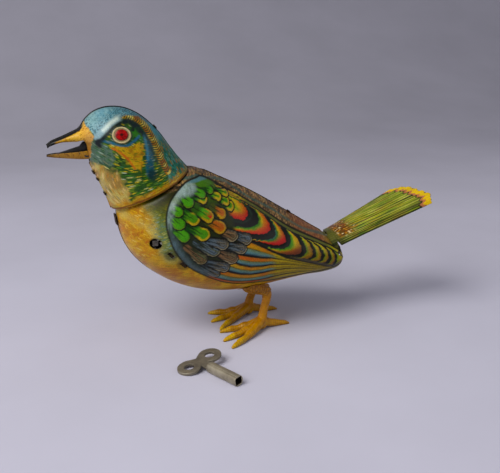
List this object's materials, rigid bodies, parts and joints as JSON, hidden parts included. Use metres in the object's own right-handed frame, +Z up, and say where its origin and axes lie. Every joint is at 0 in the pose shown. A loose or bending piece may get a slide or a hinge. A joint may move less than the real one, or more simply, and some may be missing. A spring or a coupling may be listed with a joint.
{
  "type": "wind-up tin bird toy",
  "caption": "Wind-up tin songbird with a turning head, hinged lower beak and tail, moulded legs, a clockwork with bellows whistle inside, and a loose winding key.",
  "frame": {"origin": "centre of the footprint's bounding box on the floor, bird and loose key together", "axes": "+X from beak to tail, -Y the bird's left side with the keyhole, +Z up"},
  "size_m": [0.1752, 0.0898, 0.1044],
  "materials": {
    "lithographed_tin": "glossy lithographed tinplate, worn",
    "tail_tin": "glossy lithographed tinplate, worn",
    "beak_tin": "glossy lithographed tinplate outside, dark inside",
    "bare_tin": "plain tinplate",
    "leg_plastic": "glossy moulded yellow plastic",
    "steel": "grey worn steel",
    "brass": "plain brass",
    "spring_steel": "blued spring steel",
    "cast_zinc": "dull die-cast zinc",
    "leather": "thin bellows leather"
  },
  "bodies": {
    "body": {"bellows_base": "cast_zinc", "bellows_leather": "leather", "body_left_shell": "lithographed_tin", "body_right_shell": "lithographed_tin", "frame_pillar_1": "steel", "frame_pillar_2": "steel", "frame_pillar_3": "steel", "frame_pillar_4": "steel", "frame_plate_left": "bare_tin", "frame_plate_right": "bare_tin", "leg_left": "leg_plastic", "leg_right": "leg_plastic", "leg_washer_left": "bare_tin", "leg_washer_right": "bare_tin", "mainspring": "spring_steel", "neck_disc": "bare_tin", "neck_spindle": "brass", "spindle_collar": "brass", "tail_pin": "steel", "whistle_tube": "bare_tin"},
    "head": {"head_left_shell": "lithographed_tin", "head_right_shell": "lithographed_tin", "head_bracket": "bare_tin", "beak_pin": "steel"},
    "beak": {"lower_beak": "beak_tin"},
    "beak_wire": {"beak_wire": "steel"},
    "tail": {"tail": "tail_tin"},
    "tail_rod": {"tail_rod": "steel"},
    "rocker": {"rocker_lever": "bare_tin"},
    "bellows_link": {"bellows_link": "steel"},
    "bellows_board": {"bellows_board": "bare_tin"},
    "piston": {"whistle_piston": "brass"},
    "winding": {"winding_arbor": "steel", "ratchet_wheel": "steel"},
    "great_wheel": {"great_wheel": "brass", "click": "steel", "click_spring": "spring_steel"},
    "second_wheel": {"second_wheel": "brass"},
    "eccentric_wheel": {"eccentric_wheel": "brass"},
    "governor": {"governor_fly": "brass"},
    "key": {"key_bow": "steel", "key_tube": "steel"}
  },
  "joints": [
    {"name": "head_turn", "type": "hinge", "parent": "body", "child": "head", "pos_m": [-0.04529, 0.01797, 0.0692], "axis": [-0.4195, 0, 0.9078], "range_deg": [-20, 20]},
    {"name": "rocker_swing", "type": "hinge", "parent": "body", "child": "rocker", "pos_m": [-0.02559, 0.01797, 0.0585], "axis": [0, 1, 0], "range_deg": [-4.4, 1.2]},
    {"name": "beak_hinge", "type": "hinge", "parent": "head", "child": "beak", "pos_m": [-0.06409, 0.01797, 0.0863], "axis": [0, 1, 0], "range_deg": [-1.67, 6.01]},
    {"name": "beak_wire_slide", "type": "slide", "parent": "body", "child": "beak_wire", "axis": [-0.4195, 0, 0.9078], "range_m": [-0.00104, 0.00029]},
    {"name": "tail_hinge", "type": "hinge", "parent": "body", "child": "tail", "pos_m": [0.04141, 0.01797, 0.0345], "axis": [0, 1, 0], "range_deg": [-4.45, 1.25]},
    {"name": "tail_rod_slide", "type": "slide", "parent": "body", "child": "tail_rod", "axis": [0.9414, 0, -0.3372], "range_m": [-0.00015, 0.000523]},
    {"name": "bellows_link_slide", "type": "slide", "parent": "body", "child": "bellows_link", "axis": [0, 0, 1], "range_m": [-0.00038, 0.00136]},
    {"name": "bellows_hinge", "type": "hinge", "parent": "body", "child": "bellows_board", "pos_m": [0.01741, 0.01797, 0.0294], "axis": [0, 1, 0], "range_deg": [-0.88, 3.1], "deforming": ["bellows_leather"]},
    {"name": "whistle_piston_slide", "type": "slide", "parent": "body", "child": "piston", "axis": [1, 0, 0], "range_m": [-0.0004, 0.00142]},
    {"name": "winding_turn", "type": "hinge", "parent": "body", "child": "winding", "pos_m": [-0.04659, 0.01797, 0.0488], "axis": [0, 1, 0], "continuous": true},
    {"name": "great_wheel_turn", "type": "hinge", "parent": "body", "child": "great_wheel", "pos_m": [-0.04659, 0.01797, 0.0488], "axis": [0, 1, 0], "continuous": true},
    {"name": "second_wheel_turn", "type": "hinge", "parent": "body", "child": "second_wheel", "pos_m": [-0.03757, 0.01797, 0.04552], "axis": [0, 1, 0], "continuous": true},
    {"name": "eccentric_wheel_turn", "type": "hinge", "parent": "body", "child": "eccentric_wheel", "pos_m": [-0.0283, 0.01797, 0.048], "axis": [0, 1, 0], "continuous": true},
    {"name": "governor_turn", "type": "hinge", "parent": "body", "child": "governor", "pos_m": [-0.0196, 0.01797, 0.04394], "axis": [0, 1, 0], "continuous": true},
    {"name": "key_lift", "type": "slide", "parent": "body", "child": "key", "axis": [0, 0, 1], "range_m": [0, 0.08]}
  ],
  "couplings": [
    {"joint": "beak_hinge", "follows": "rocker_swing", "ratio": -1.3539},
    {"joint": "beak_wire_slide", "follows": "rocker_swing", "m_per_rad": 0.0134},
    {"joint": "tail_hinge", "follows": "rocker_swing", "ratio": 0.99974},
    {"joint": "tail_rod_slide", "follows": "rocker_swing", "m_per_rad": -0.00668},
    {"joint": "bellows_link_slide", "follows": "rocker_swing", "m_per_rad": -0.0176},
    {"joint": "bellows_hinge", "follows": "rocker_swing", "ratio": -0.69291},
    {"joint": "whistle_piston_slide", "follows": "rocker_swing", "m_per_rad": -0.0184},
    {"joint": "second_wheel_turn", "follows": "great_wheel_turn", "ratio": -3},
    {"joint": "eccentric_wheel_turn", "follows": "great_wheel_turn", "ratio": 9},
    {"joint": "governor_turn", "follows": "great_wheel_turn", "ratio": -27}
  ]
}
